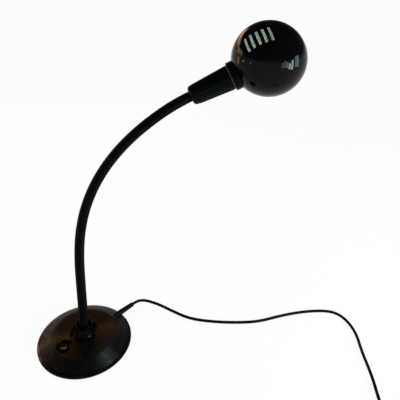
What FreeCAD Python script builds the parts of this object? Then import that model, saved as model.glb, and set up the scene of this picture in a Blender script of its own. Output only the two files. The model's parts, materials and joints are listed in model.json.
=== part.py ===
import FreeCAD, Part
import math
import os

# Gooseneck desk lamp, in millimetres. +Z is up, the origin is the middle of the foot on the table,
# and the neck bends in the XZ plane, towards +X. The switch and the cord lie on opposite sides.

os.makedirs("parts", exist_ok=True)
Vec = FreeCAD.Vector
UP = Vec(0, 0, 1)
FULL_TURN = 360.0
cut_past = 1.0  # how far a cutting form runs past a face

# Base: a ringed cover over a cast-iron weight, closed by a plate with a felt pad
base_radius = 75.0
base_height = 17.8
base_edge_height = 3.2
base_lift = 0.8
edge_chamfer = 0.6
shoulder_width = 29.0
shoulder_radius = 18.0
cover_wall = 2.4
skirt_wall = 2.8
ring_pitch = 3.2
ring_depth = 0.5
ring_margin = 0.6
plain_band = 4.4
dish_radius = 21.4
dish_fillet = 2.6
dish_depth = 3.8
dish_lip = 0.8
pad_thickness = 1.2
pad_inset = 4.5
plate_thickness = 1.6
plate_gap = 0.4
weight_gap = 0.8
weight_lift = 0.2
weight_step_gap = 0.4
weight_rise = 3.4
plate_screw_inset = 28.0
plate_screw_count = 4
plate_screw_first = 86.0
plate_screw_radius = 1.4
plate_screw_head_radius = 2.9
plate_screw_length = 7.4
thread_gap = 0.1

# Foot of the neck: a turned ferrule held by a hollow threaded nipple
ferrule_foot_radius = 16.2
ferrule_foot_height = 5.6
ferrule_waist_radius = 11.7
ferrule_waist_height = 17.0
ferrule_flare_out = 0.4
ferrule_flare_drop = 1.2
ferrule_rim_radius = 13.25
ferrule_rim_inner = 10.8
ferrule_rim_height = 23.0
ferrule_cup_depth = 6.0
ferrule_seat_height = 12.0
nipple_radius = 5.0
nipple_bore = 3.4
nipple_gap = 0.05
nipple_foot = 3.1
nut_height = 3.6
nut_across_flats = 17.0
washer_radius = 10.0
washer_thickness = 1.0
nut_pocket_radius = 11.5

# Push switch in a round hollow of the cover
switch_angle = -138.0
switch_reach = 38.7
bowl_radius = 13.25
bowl_floor_radius = 7.8
bowl_side_in = 1.4
bowl_side_rise = 1.6
bowl_depth = 4.6
bowl_floor_wall = 2.4
boss_wall = 2.2
button_radius = 5.9
button_gap = 0.3
button_top_radius = 4.6
button_round = 1.3
button_hollow = 0.5
button_travel = 2.0
button_proud_pressed = 1.4
button_flange_radius = 7.4
button_flange_height = 1.2
switch_body_radius = 10.4
switch_wall = 1.6
switch_floor = 1.4
switch_foot = 3.0
spring_radius = 3.6
spring_wire = 0.8
spring_turns = 3

# Flexible neck: wound tube in short rigid lengths, each on a ball in the length below
neck_radius = 7.4
rib_height = 0.3
neck_bore = 5.2
link_length = 43.0
foot_link_length = 31.0
neck_turns = [0.0, 0.6, 4.3, 7.1, 9.0, 9.5, 9.0, 8.2, 6.3, 9.1]
ribs_per_link = 18
rib_start_share = 0.2
rib_width_share = 0.6
ball_gap = 0.3
neck_seat = 0.1
lead_radius = 2.5
lead_end_gap = 0.8

# Head: socket cover, lampholder and bulb, along the axis of the neck's end
cover_length = 59.5
cover_neck_radius = 13.9
cover_mouth_radius = 17.3
cover_round = 5.0
socket_wall = 1.8
socket_entry_gap = 0.3
flute_count = 8
flute_first = 8.0
flute_width = 1.5
flute_height = 0.7
flute_end = 2.5
neck_insert = 8.0
head_nut_radius = 9.0
head_nut_height = 3.6
holder_length = 56.0
holder_radius = 12.5
holder_wall = 2.0
holder_sleeve_radius = 14.0
holder_sleeve_length = 23.0
holder_sleeve_proud = 20.5
holder_depth = 28.0
holder_floor_thickness = 5.0
cap_radius = 6.9
cap_gap = 0.25
thread_wall = 0.45
cap_length = 19.0
cap_tip_radius = 3.2
cap_tip_length = 1.6
contact_width = 3.0
contact_length = 9.0
contact_thickness = 0.8
bulb_radius = 22.5
bulb_neck_radius = 7.6
bulb_neck_height = 6.0
bulb_waist_in = 0.8
bulb_waist_rise = 1.0
bulb_join_angle = 50.0
bulb_length = 58.0
bulb_wall = 0.8
swivel_washer_thickness = 0.9
swivel_washer_proud = 0.25
holder_ring_radius = 18.5
holder_ring_thickness = 3.0

# Shade: a hollow ball that swivels on the lampholder, with five slots and one round opening
ball_radius = 51.3
shade_wall = 1.0
opening_radius = 37.0
bead_radius = 0.9
collar_radius = 20.2
collar_length = 9.04
swivel_gap = 0.3
swivel_clearance = 0.05
spigot_radius = 16.5
spigot_gap = 0.2
spigot_reach = 3.96
lock_ring_radius = 19.8
lock_ring_thickness = 2.8
seat_gap = 0.05
opening_roll = 217.6
slot_roll = 35.9
slot_tilt = -6.1
slot_count = 5
slot_pitch = 9.5
slot_middle = -7.7
slot_width = 4.7
slot_length = 22.7
slot_corner = 0.6

# Mains lead: strain relief, free run on the table, coil, tie and plug
cord_radius = 2.5
cord_angle = 41.0
cord_exit_height = 8.2
bend_share = 0.45  # part of the shorter run that each bend takes
turn_apart = 6  # radii along a wound tube before its next turn can come near
relief_inset = 25.0
relief_flange_radius = 5.3
relief_flange_length = 3.0
relief_radius = 4.8
relief_body_length = 21.0
relief_taper_length = 30.0
relief_tip_radius = 3.9
relief_tip_round = 1.0
relief_gap = 0.1
clamp_gap = 0.5
clamp_length = 11.0
clamp_width = 15.0
clamp_height = 8.4
clamp_screw_radius = 1.5
clamp_screw_spread = 10.4
clamp_screw_head = 2.6
clamp_screw_head_height = 1.2
block_reach = 14.5
block_length = 13.0
block_width = 18.0
block_height = 8.0
block_screw_radius = 1.7
block_screw_spread = 8.6
block_screw_height = 1.6
channel_width = 19.0

cord_down = [
    (6.4, 5.6, 0.0), (7.8, 3.5, -1.2), (9.0, 0.8, -1.7), (9.7, -2.4, -1.7), (16.9, -8.6, -1.1),
]
cord_route = [  # from the strain relief's tip
    (71.8, -18.3), (99.8, -37.8), (135.8, -47.8), (175.8, -53.8), (219.8, -55.8),
    (263.8, -45.3), (308.8, -39.3), (348.8, -40.3), (370.8, -49.3), (381.8, -70.3),
    (384.8, -98.3), (377.8, -134.3), (373.8, -178.3), (364.8, -221.3),
]
cord_last_turn = (360.8, -252.3)
coil_entry = (360.8, -272.3)
coil_outer = 36.0
coil_pitch = 5.7
coil_layer_gap = 0.6
coil_turns_in = 3
coil_quarters_out = 11
climb_steepness = 1.5
coil_tail = 18.0
tie_thickness = 0.6
tie_gap = 0.15
tie_slack = 1.2
tie_width = 9.0
tie_angle = 135.0
plug_sleeve_length = 18.0
plug_sleeve_radius = 4.2
plug_sleeve_base = 6.0
plug_sleeve_root = 2.0
plug_back_width = 17.0
plug_width = 35.4
plug_taper_length = 24.0
plug_length = 36.0
plug_corner = 3.0
pin_radius = 2.0
pin_length = 19.0
pin_spread = 18.6
pin_round = 1.0


def save(name, shape):
    """Write one node and report its volume."""
    if not shape.isValid():
        print("not valid:", name)
    count = len(shape.Solids)
    if count > 1:
        shape = Part.makeCompound(shape.Solids)
    shape.exportStep("parts/" + name + ".step")
    print("%-20s %d solid, %.1f mm3" % (name, count, shape.Volume))


def outline(start, *steps):
    """A closed outline in the XZ plane from (radius, height) points; a pair of points is an arc."""
    edges = []
    here = Vec(start[0], 0, start[1])
    first = here
    for step in steps:
        if isinstance(step[0], tuple):
            middle = Vec(step[0][0], 0, step[0][1])
            end = Vec(step[1][0], 0, step[1][1])
            edges.append(Part.Arc(here, middle, end).toShape())
        else:
            end = Vec(step[0], 0, step[1])
            edges.append(Part.LineSegment(here, end).toShape())
        here = end
    if here.distanceToPoint(first) > 1e-6:
        edges.append(Part.LineSegment(here, first).toShape())
    return Part.Face(Part.Wire(edges))


def turned(start, *steps):
    """A solid of revolution about +Z."""
    solid = outline(start, *steps).revolve(Vec(0, 0, 0), UP, FULL_TURN)
    return Part.Solid(solid.Shells[0]) if solid.ShapeType != "Solid" else solid


def rod(radius, low, high, x=0.0, y=0.0):
    """An upright cylinder between two heights."""
    return Part.makeCylinder(radius, high - low, Vec(x, y, low))


def pipe(outer, inner, low, high, x=0.0, y=0.0):
    """An upright tube between two heights."""
    return rod(outer, low, high, x, y).cut(rod(inner, low - cut_past, high + cut_past, x, y))


def hexagon(across_flats, low, high):
    """An upright hexagonal prism."""
    corner = across_flats / math.sqrt(3.0)
    points = []
    for index in range(7):
        angle = math.radians(60.0 * index)
        points.append(Vec(corner * math.cos(angle), corner * math.sin(angle), low))
    return Part.Face(Part.makePolygon(points)).extrude(Vec(0, 0, high - low))


def block(length, width, low, high, x=0.0, y=0.0):
    """An upright box centred on (x, y)."""
    return Part.makeBox(length, width, high - low, Vec(x - length / 2, y - width / 2, low))


def frame_at(origin, z_axis, x_axis):
    """The placement that puts local Z and X along two given directions."""
    y_axis = z_axis.cross(x_axis)
    return FreeCAD.Placement(origin, FreeCAD.Rotation(x_axis, y_axis, z_axis, "ZXY"))


def moved(shape, placement):
    """A copy of a shape, moved by a placement."""
    result = shape.copy()
    result.Placement = placement.multiply(result.Placement)
    return result


def direction(degrees):
    """A level unit vector at an angle from +X."""
    return Vec(math.cos(math.radians(degrees)), math.sin(math.radians(degrees)), 0)


# Heights that several pieces share
plate_low = pad_thickness
plate_high = plate_low + plate_thickness
dish_floor = base_height - dish_depth
cover_underside = base_height - cover_wall
dish_underside = dish_floor - cover_wall
weight_low = plate_high + weight_lift
weight_high = dish_underside - weight_lift
weight_top = weight_high + weight_rise
skirt_inner = base_radius - skirt_wall
flat_radius = base_radius - shoulder_width
switch_at = direction(switch_angle) * switch_reach
bowl_floor = base_height - bowl_depth
boss_low = bowl_floor - bowl_floor_wall
cord_out = direction(cord_angle)
relief_start = base_radius - relief_inset
relief_taper_start = relief_start + relief_body_length
relief_tip = relief_taper_start + relief_taper_length
clamp_reach = relief_start - clamp_gap - clamp_length / 2
button_hole = button_radius + button_gap
holder_sleeve_end = cover_length + holder_sleeve_proud
holder_sleeve_start = holder_sleeve_end - holder_sleeve_length
holder_start = holder_sleeve_end - holder_length
holder_floor = holder_sleeve_end - holder_depth
collar_start = cover_length + swivel_washer_thickness + swivel_gap
ball_distance = collar_start + collar_length + math.sqrt(ball_radius ** 2 - collar_radius ** 2)


def shoulder():
    """Centre of the shoulder arc and the slope that leaves it for the cover's edge."""
    centre = (flat_radius, base_height - shoulder_radius)
    across = base_radius - centre[0]
    below = base_edge_height - centre[1]
    reach = math.hypot(across, below)
    slope = math.atan2(across, below) - math.acos(shoulder_radius / reach)
    return centre, slope


def on_cover(distance, sink):
    """A point on the cover's top, a distance out from the dish's lip and sunk below the surface."""
    centre, slope = shoulder()
    flat = flat_radius - (dish_radius + dish_lip)
    bend = shoulder_radius * slope
    if distance <= flat:
        return (dish_radius + dish_lip + distance, base_height - sink)
    if distance <= flat + bend:
        angle = (distance - flat) / shoulder_radius
    else:
        angle = slope
    reach = shoulder_radius - sink
    radius = centre[0] + reach * math.sin(angle)
    height = centre[1] + reach * math.cos(angle)
    past = max(0.0, distance - flat - bend)
    return (radius + past * math.cos(angle), height - past * math.sin(angle))


def slope_length():
    """Length of the cover's top from the dish's lip to its edge."""
    centre, slope = shoulder()
    start = on_cover(flat_radius - dish_radius - dish_lip + shoulder_radius * slope, 0.0)
    run = math.hypot(base_radius - start[0], start[1] - base_edge_height)
    return flat_radius - dish_radius - dish_lip + shoulder_radius * slope + run


def inner_slope(depth, height):
    """Radius, at a height, of the line that lies a depth below the cover's slope."""
    centre, slope = shoulder()
    return base_radius - depth / math.sin(slope) - (height - base_edge_height) / math.tan(slope)


def ring_steps():
    """The rings of the cover's top as arcs from valley to valley."""
    steps = []
    count = int((slope_length() - plain_band - ring_margin) / ring_pitch)
    steps.append(on_cover(ring_margin, 0.0))
    for index in range(count):
        start = ring_margin + index * ring_pitch
        if index == 0:
            steps.append(on_cover(start, ring_depth))
        crest = on_cover(start + ring_pitch / 2, 0.0)
        valley = on_cover(start + ring_pitch, ring_depth)
        steps.append((crest, valley))
    steps.append(on_cover(ring_margin + count * ring_pitch, 0.0))
    return steps


def base_cover():
    """Ringed cover with the dish for the neck and the hollow for the switch."""
    hole = nipple_radius + nipple_gap
    corner = 1 - math.sqrt(0.5)
    wall_foot = dish_floor + dish_fillet
    dish_wall = dish_radius + dish_lip + cover_wall
    steps = [
        (dish_radius - dish_fillet, dish_floor),
        ((dish_radius - dish_fillet * corner, dish_floor + dish_fillet * corner), (dish_radius, wall_foot)),
        (dish_radius, base_height - dish_lip),
        ((dish_radius + dish_lip * corner, base_height - dish_lip * corner),
         (dish_radius + dish_lip, base_height)),
    ]
    steps.extend(ring_steps())
    steps.extend([
        (base_radius, base_edge_height),
        (base_radius, base_lift + edge_chamfer),
        (base_radius - edge_chamfer, base_lift),
        (skirt_inner, base_lift),
        (skirt_inner, max(base_lift + edge_chamfer, plate_high)),
        (inner_slope(cover_wall, weight_low), weight_low),
        (inner_slope(cover_wall, cover_underside), cover_underside),
        (dish_wall, cover_underside),
        (dish_wall, dish_underside),
        (hole, dish_underside),
    ])
    cover = turned((hole, dish_floor), *steps)
    boss = rod(bowl_radius + boss_wall, boss_low, cover_underside + cover_wall / 2)
    bowl = turned((0, bowl_floor), (bowl_floor_radius, bowl_floor),
                  ((bowl_radius - bowl_side_in, bowl_floor + bowl_side_rise), (bowl_radius, base_height)),
                  (bowl_radius, base_height + cut_past), (0, base_height + cut_past))
    cover = cover.fuse(boss.translated(switch_at)).removeSplitter()
    cover = cover.cut(bowl.translated(switch_at))
    hole = rod(button_hole, boss_low - cut_past, bowl_floor + cut_past)
    cover = cover.cut(hole.translated(switch_at))
    return cover.cut(relief_hole())


def relief_hole():
    """Level hole through the cover's slope for the strain relief."""
    start = cord_out * relief_start
    start.z = cord_exit_height
    return Part.makeCylinder(relief_radius + relief_gap, base_radius, start, cord_out)


def base_weight():
    """Cast disc that keeps the lamp upright, with room for the switch and the wiring."""
    depth = cover_wall + weight_gap
    foot = inner_slope(depth, weight_low)
    shoulder_out = inner_slope(depth, weight_top)
    step = dish_radius + dish_lip + cover_wall + weight_step_gap
    weight = turned((nipple_radius + weight_gap, nut_top()),
                    (nut_pocket_radius, nut_top()), (nut_pocket_radius, weight_low),
                    (foot, weight_low), (shoulder_out, weight_top),
                    (step, weight_top), (step, weight_high),
                    (nipple_radius + weight_gap, weight_high))
    room = bowl_radius + boss_wall + weight_gap
    weight = weight.cut(rod(room, weight_low - cut_past, weight_top + cut_past, switch_at.x, switch_at.y))
    channel = block(base_radius, channel_width, weight_low - cut_past, weight_top + cut_past,
                    base_radius / 2 + block_reach - weight_gap, 0)
    link = block(switch_reach, channel_width / 2, weight_low - cut_past, nut_top(), -switch_reach / 2, 0)
    weight = weight.cut(channel.rotated(Vec(0, 0, 0), UP, cord_angle))
    weight = weight.cut(link.rotated(Vec(0, 0, 0), UP, switch_angle + FULL_TURN / 2))
    for spot in plate_screw_spots():
        weight = weight.cut(rod(plate_screw_radius + thread_gap, weight_low - cut_past,
                                weight_low + plate_screw_length, spot.x, spot.y))
    return max(weight.Solids, key=lambda solid: solid.Volume)


def nut_top():
    """Height of the face that the nipple's washer is pulled against."""
    return nipple_foot + nut_height + washer_thickness


def plate_screw_spots():
    """Places of the screws that hold the base plate."""
    spots = []
    for index in range(plate_screw_count):
        spots.append(direction(plate_screw_first + index * FULL_TURN / plate_screw_count)
                     * (base_radius - plate_screw_inset))
    return spots


def plate_screw(spot, gap):
    """One countersunk screw, or with a gap the hole for it."""
    top = plate_high
    head = turned((0, plate_low), (plate_screw_head_radius + gap, plate_low),
                  (plate_screw_radius + gap, top), (0, top))
    shank = rod(plate_screw_radius + gap, plate_low, plate_low + plate_screw_length)
    return head.fuse(shank).removeSplitter().translated(spot)


def base_plate():
    """Flat steel plate that closes the base."""
    plate = rod(skirt_inner - plate_gap, plate_low, plate_high)
    for spot in plate_screw_spots():
        plate = plate.cut(plate_screw(spot, seat_gap))
    return plate


def neck_ferrule():
    """Turned cup round the neck, with a rounded rim."""
    foot = dish_floor
    rim = foot + ferrule_rim_height
    waist = foot + ferrule_waist_height
    rim_middle = (ferrule_rim_radius + ferrule_rim_inner) / 2
    rim_half = (ferrule_rim_radius - ferrule_rim_inner) / 2
    neck_hole = neck_radius + neck_seat
    seat = foot + ferrule_seat_height
    cup = rim - ferrule_cup_depth
    flare = (ferrule_foot_radius + ferrule_waist_radius) / 2
    return turned(
        (nipple_radius + nipple_gap, foot),
        (ferrule_foot_radius - dish_lip, foot),
        (ferrule_foot_radius, foot + dish_lip),
        (ferrule_foot_radius, foot + ferrule_foot_height),
        ((flare + ferrule_flare_out,
          foot + (ferrule_foot_height + ferrule_waist_height) / 2 - ferrule_flare_drop),
         (ferrule_waist_radius, waist)),
        (ferrule_waist_radius, waist + rim_half),
        (ferrule_rim_radius, rim - 2 * rim_half),
        (ferrule_rim_radius, rim - rim_half),
        ((rim_middle, rim), (ferrule_rim_inner, rim - rim_half)),
        (ferrule_rim_inner, cup + rim_half),
        (ferrule_rim_inner - rim_half, cup),
        (neck_hole, cup),
        (neck_hole, seat),
        (nipple_radius + nipple_gap, seat),
    )


def neck_start():
    """Height of the lower end of the neck, on its seat in the ferrule."""
    return dish_floor + ferrule_seat_height


def foot_nipple():
    """Hollow threaded tube that pulls neck, ferrule and cover onto the weight."""
    return pipe(nipple_radius, nipple_bore, nipple_foot, neck_start() + nut_across_flats / 2)


def nipple_nut():
    """Hexagon nut under the weight."""
    nut = hexagon(nut_across_flats, nipple_foot, nipple_foot + nut_height)
    return nut.cut(rod(nipple_radius + nipple_gap, nipple_foot - cut_past, nut_top()))


def nipple_washer():
    """Flat washer between the nut and the weight."""
    return pipe(washer_radius, nipple_radius + nipple_gap, nipple_foot + nut_height, nut_top())


def switch_body():
    """Round housing of the push switch, a cup under the hollow."""
    cup = rod(switch_body_radius, switch_foot, boss_low)
    cup = cup.cut(rod(switch_body_radius - switch_wall, switch_foot + switch_floor, boss_low + cut_past))
    return cup.translated(switch_at)


def switch_button():
    """Push button with a rounded shoulder, a shallow hollow on top and a retaining flange."""
    top = bowl_floor + button_travel + button_proud_pressed
    flange_low = boss_low - button_gap - button_flange_height
    half = button_round * (1 - math.sqrt(0.5))
    button = turned(
        (0, flange_low),
        (button_flange_radius, flange_low),
        (button_flange_radius, flange_low + button_flange_height),
        (button_radius, flange_low + button_flange_height),
        (button_radius, top - button_round),
        ((button_radius - half, top - half), (button_top_radius, top)),
        (0, top),
    )
    hollow = (button_top_radius ** 2 + button_hollow ** 2) / (2 * button_hollow)
    button = button.cut(Part.makeSphere(hollow, Vec(0, 0, top - button_hollow + hollow)))
    return button.translated(switch_at)


def arc_by_tangents(start, start_way, end, end_way):
    """The arc that leaves start along one direction and reaches end along another."""
    chord = end - start
    reach = chord.Length / 2 / math.cos(start_way.getAngle(chord))
    corner = start + start_way * reach
    half = start_way.getAngle(end_way) / 2
    middle = corner + ((start + end) * 0.5 - corner) * (1 / (1 + math.cos(half)))
    return Part.Arc(start, middle, end).toShape()


def biarc(start, start_way, end, end_way):
    """Two arcs that join two points along given directions and meet smoothly between them."""
    chord = end - start
    both = start_way + end_way
    straight = 2 * (1 - start_way.dot(end_way))
    along = chord.dot(both)
    if straight < 1e-9:
        reach = chord.Length / 4
    else:
        reach = (-along + math.sqrt(along * along + straight * chord.dot(chord))) / straight
    joint = ((start + start_way * reach) + (end - end_way * reach)) * 0.5
    joint_way = ((end - end_way * reach) - (start + start_way * reach)).normalize()
    return [arc_by_tangents(start, start_way, joint, joint_way),
            arc_by_tangents(joint, joint_way, end, end_way)]


def tube_along(edges, radius):
    """An unbroken round tube along a smooth chain of edges."""
    wire = Part.Wire(edges)
    first = edges[0]
    start = first.valueAt(first.FirstParameter)
    way = first.tangentAt(first.FirstParameter)
    ring = Part.Wire([Part.makeCircle(radius, start, way)])
    return wire.makePipeShell([ring], True, False), wire


def winding(centre, stations):
    """Arcs through stations of (quarter turns, radius, height, slope), clockwise seen from above."""
    edges = []
    points = []
    for quarters, radius, height, slope in stations:
        angle = -math.pi / 2 * quarters
        out = Vec(math.cos(angle), math.sin(angle), 0)
        way = Vec(math.sin(angle), -math.cos(angle), slope).normalize()
        points.append((Vec(centre.x, centre.y, height) + out * radius, way))
    for (start, start_way), (end, end_way) in zip(points, points[1:]):
        edges.extend(biarc(start, start_way, end, end_way))
    return edges, points


def least_gap(wire, radius, step):
    """Least gap between the turns of a tube, from points along its middle line."""
    count = int(wire.Length / step)
    points = wire.discretize(count)
    skip = int(turn_apart * radius / step)
    least = None
    for index in range(0, count):
        here = points[index]
        for other in points[index + skip:]:
            away = abs(other.x - here.x)
            if least is not None and away > least:
                continue
            away = here.distanceToPoint(other)
            if least is None or away < least:
                least = away
    return least - 2 * radius


def switch_spring():
    """Coil spring that lifts the button."""
    low = switch_foot + switch_floor + spring_wire / 2
    high = boss_low - button_gap - button_flange_height - spring_wire / 2
    quarters = 4 * spring_turns
    slope = (high - low) / (2 * math.pi * spring_radius * spring_turns)
    stations = []
    for index in range(quarters + 1):
        stations.append((index, spring_radius, low + (high - low) * index / quarters, slope))
    edges, points = winding(Vec(switch_at.x, switch_at.y, 0), stations)
    tube, wire = tube_along(edges, spring_wire / 2)
    print("spring gap %.2f mm" % least_gap(wire, spring_wire / 2, spring_wire / 2))
    return tube


def terminal_block():
    """Screw terminal for the mains lead."""
    body = block(block_length, block_width, plate_high, plate_high + block_height,
                 block_reach + block_length / 2, 0)
    for side in (-1, 1):
        body = body.cut(rod(block_screw_radius + seat_gap, plate_high + block_height / 2,
                            plate_high + block_height + cut_past,
                            block_reach + block_length / 2, side * block_screw_spread / 2))
    return body.rotated(Vec(0, 0, 0), UP, cord_angle)


def terminal_screws():
    """Two grub screws in the terminal."""
    screws = []
    for side in (-1, 1):
        top = plate_high + block_height - seat_gap
        screw = rod(block_screw_radius, plate_high + block_height / 2, top,
                    block_reach + block_length / 2, side * block_screw_spread / 2)
        slot = block(4 * block_screw_radius, block_screw_radius / 2,
                     top - block_screw_height / 2, top + cut_past,
                     block_reach + block_length / 2, side * block_screw_spread / 2)
        screws.append(screw.cut(slot).rotated(Vec(0, 0, 0), UP, cord_angle))
    return Part.makeCompound(screws)


def cord_clamp():
    """Two-screw grip that holds the mains lead in the base."""
    body = block(clamp_length, clamp_width, plate_high, plate_high + clamp_height, clamp_reach, 0)
    bore = Part.makeCylinder(cord_radius, 2 * clamp_length,
                             Vec(clamp_reach - clamp_length, 0, cord_exit_height), Vec(1, 0, 0))
    body = body.cut(bore)
    for side in (-1, 1):
        body = body.cut(rod(clamp_screw_radius + seat_gap, plate_high, plate_high + clamp_height + cut_past,
                            clamp_reach, side * clamp_screw_spread / 2))
    return body.rotated(Vec(0, 0, 0), UP, cord_angle)


def clamp_screws():
    """The grip's two screws."""
    screws = []
    top = plate_high + clamp_height
    for side in (-1, 1):
        screw = rod(clamp_screw_radius, plate_high, top, clamp_reach, side * clamp_screw_spread / 2)
        head = rod(clamp_screw_head, top, top + clamp_screw_head_height,
                   clamp_reach, side * clamp_screw_spread / 2)
        screws.append(screw.fuse(head).removeSplitter().rotated(Vec(0, 0, 0), UP, cord_angle))
    return Part.makeCompound(screws)


def strain_relief():
    """Tapered rubber sleeve where the mains lead leaves the base."""
    sleeve = turned(
        (cord_radius, relief_start),
        (relief_flange_radius, relief_start),
        (relief_flange_radius, relief_start + relief_flange_length),
        (relief_radius, relief_start + relief_flange_length),
        (relief_radius, relief_taper_start),
        (relief_tip_radius, relief_tip - relief_tip_round),
        (relief_tip_radius - relief_tip_round / 2, relief_tip),
        (cord_radius, relief_tip),
    )
    return moved(sleeve, frame_at(Vec(0, 0, cord_exit_height), cord_out, UP))


def base_lead():
    """The mains lead inside the base, from the terminal to the strain relief's tip."""
    start = block_reach + block_length
    lead = rod(cord_radius, start, relief_tip)
    return moved(lead, frame_at(Vec(0, 0, cord_exit_height), cord_out, UP))


def cord_points():
    """Route of the free cord on the table, from the strain relief's tip to the coil."""
    tip = cord_out * relief_tip
    points = [Vec(tip.x, tip.y, cord_exit_height)]
    for step in cord_down:
        points.append(points[-1] + Vec(*step))
    for x, y in cord_route:
        points.append(Vec(tip.x + x, tip.y + y, cord_radius))
    points.append(Vec(tip.x + cord_last_turn[0], tip.y + cord_last_turn[1], coil_low()))
    points.append(Vec(tip.x + coil_entry[0], tip.y + coil_entry[1], coil_low()))
    return points


def coil_low():
    """Height of the middle line of the coil's lower layer, above the tie."""
    return cord_radius + tie_thickness + tie_gap


def coil_high():
    """Height of the middle line of the coil's upper layer."""
    return coil_low() + 2 * cord_radius + coil_layer_gap


def rounded_path(points):
    """Straight runs joined by tangent arcs as large as the runs allow."""
    edges = []
    here = points[0]
    radii = []
    for before, corner, after in zip(points, points[1:], points[2:]):
        run_in = corner - before
        run_out = after - corner
        shorter = min(run_in.Length, run_out.Length)
        half = run_in.getAngle(run_out) / 2
        reach = bend_share * shorter
        radii.append(reach / math.tan(half))
        start = corner - run_in.normalize() * reach
        end = corner + run_out.normalize() * reach
        middle = corner + ((start + end) * 0.5 - corner) * (1 / (1 + math.cos(half)))
        edges.append(Part.LineSegment(here, start).toShape())
        edges.append(Part.Arc(start, middle, end).toShape())
        here = end
    edges.append(Part.LineSegment(here, points[-1]).toShape())
    return edges, radii


def cord_run():
    """The free cord on the table."""
    edges, radii = rounded_path(cord_points())
    tube, wire = tube_along(edges, cord_radius)
    print("cord radii mm:", " ".join("%.0f" % radius for radius in radii))
    print("cord run %.1f mm long, volume over section times length %.4f"
          % (wire.Length, tube.Volume / (math.pi * cord_radius ** 2 * wire.Length)))
    return tube


def coil_stations():
    """The coil's spiral in, its climb at the reversal and its spiral out."""
    step = coil_pitch / 4
    quarters_in = 4 * coil_turns_in
    low, high = coil_low(), coil_high()
    stations = []
    for index in range(quarters_in + 1):
        stations.append((index, coil_outer - step * index, low, 0.0))
    inner = coil_outer - step * quarters_in
    slope = climb_steepness * (high - low) / (math.pi * inner)
    stations.append((quarters_in + 1, inner - step, (low + high) / 2, slope))
    for index in range(coil_quarters_out + 1):
        stations.append((quarters_in + 2 + index, inner + step * index, high, 0.0))
    return stations


def coil_centre():
    """Middle of the coil, beside the point where the cord enters it."""
    tip = cord_out * relief_tip
    return Vec(tip.x + coil_entry[0] - coil_outer, tip.y + coil_entry[1] - 2 * cord_radius, 0)


def coil_path():
    """Edges of the whole coil, with a straight end of a cord diameter or more at each side."""
    edges, points = winding(coil_centre(), coil_stations())
    entry, entry_way = points[0]
    leave, leave_way = points[-1]
    lead_in = Part.LineSegment(entry - entry_way * 2 * cord_radius, entry).toShape()
    lead_out = Part.LineSegment(leave, leave + leave_way * coil_tail).toShape()
    return [lead_in] + edges + [lead_out]


def cord_coil():
    """The put-away length of the cord, wound in two layers."""
    tube, wire = tube_along(coil_path(), cord_radius)
    print("coil %.1f mm long, least gap %.2f mm, volume over section times length %.4f"
          % (wire.Length, least_gap(wire, cord_radius, 1.0),
             tube.Volume / (math.pi * cord_radius ** 2 * wire.Length)))
    return tube


def cord_tie():
    """Flat tie round the coil's bundle."""
    angle = tie_angle
    lower = coil_outer - coil_pitch * ((FULL_TURN - angle) % FULL_TURN) / FULL_TURN
    inner_radius = coil_outer - coil_pitch * coil_turns_in
    past = ((FULL_TURN / 2 - angle) % FULL_TURN) / FULL_TURN
    upper = inner_radius + coil_pitch * past
    near = min(upper, lower - coil_pitch * (coil_turns_in - 1)) - cord_radius - tie_slack
    far = max(lower, upper + coil_pitch * (coil_turns_in - 1)) + cord_radius + tie_slack
    low = coil_low() - cord_radius - tie_gap
    high = coil_high() + cord_radius + tie_gap
    outer = block(far - near + 2 * tie_thickness, tie_width, low - tie_thickness, high + tie_thickness,
                  (near + far) / 2, 0)
    hollow = block(far - near, 2 * tie_width, low, high, (near + far) / 2, 0)
    outer_edges = [edge for edge in outer.Edges if abs(edge.tangentAt(0).y) > 0.9]
    hollow_edges = [edge for edge in hollow.Edges if abs(edge.tangentAt(0).y) > 0.9]
    band = outer.makeFillet(cord_radius, outer_edges)
    band = band.cut(hollow.makeFillet(cord_radius - tie_thickness, hollow_edges))
    return band.rotated(Vec(0, 0, 0), UP, angle).translated(coil_centre())


def plug_frame():
    """Placement of the plug, whose local Z runs from the cord to the pins."""
    stations = coil_stations()
    edges, points = winding(coil_centre(), stations[-2:])
    leave, leave_way = points[-1]
    return frame_at(leave + leave_way * coil_tail, leave_way, UP)


def plug_body():
    """Flat two-pin plug lying on the table, with its sleeve."""
    half_high = coil_high()
    start = plug_sleeve_length
    root = start + plug_sleeve_root
    sleeve = turned((0, 0), (plug_sleeve_radius, 0), (plug_sleeve_base, root), (0, root))
    face = start + plug_taper_length
    end = start + plug_length
    points = [
        Vec(-half_high, -plug_back_width / 2, start),
        Vec(-half_high, plug_back_width / 2, start),
        Vec(-half_high, plug_width / 2, face),
        Vec(-half_high, plug_width / 2, end),
        Vec(-half_high, -plug_width / 2, end),
        Vec(-half_high, -plug_width / 2, face),
        Vec(-half_high, -plug_back_width / 2, start),
    ]
    body = Part.Face(Part.makePolygon(points)).extrude(Vec(2 * half_high, 0, 0))
    upright = [edge for edge in body.Edges if abs(edge.tangentAt(0).x) > 0.9]
    body = body.makeFillet(plug_corner, upright)
    body = body.fuse(sleeve).removeSplitter()
    for side in (-1, 1):
        hole = rod(pin_radius, end - pin_length / 2, end + cut_past, 0, side * pin_spread / 2)
        body = body.cut(hole)
    return moved(body, plug_frame())


def plug_pins():
    """The plug's two round pins."""
    pins = []
    start = plug_sleeve_length + plug_length - pin_length / 2
    end = plug_sleeve_length + plug_length + pin_length
    for side in (-1, 1):
        pin = turned((0, start), (pin_radius, start), (pin_radius, end - pin_round),
                     (pin_radius - pin_round, end), (0, end))
        pins.append(moved(pin.translated(Vec(0, side * pin_spread / 2, 0)), plug_frame()))
    return Part.makeCompound(pins)


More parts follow.
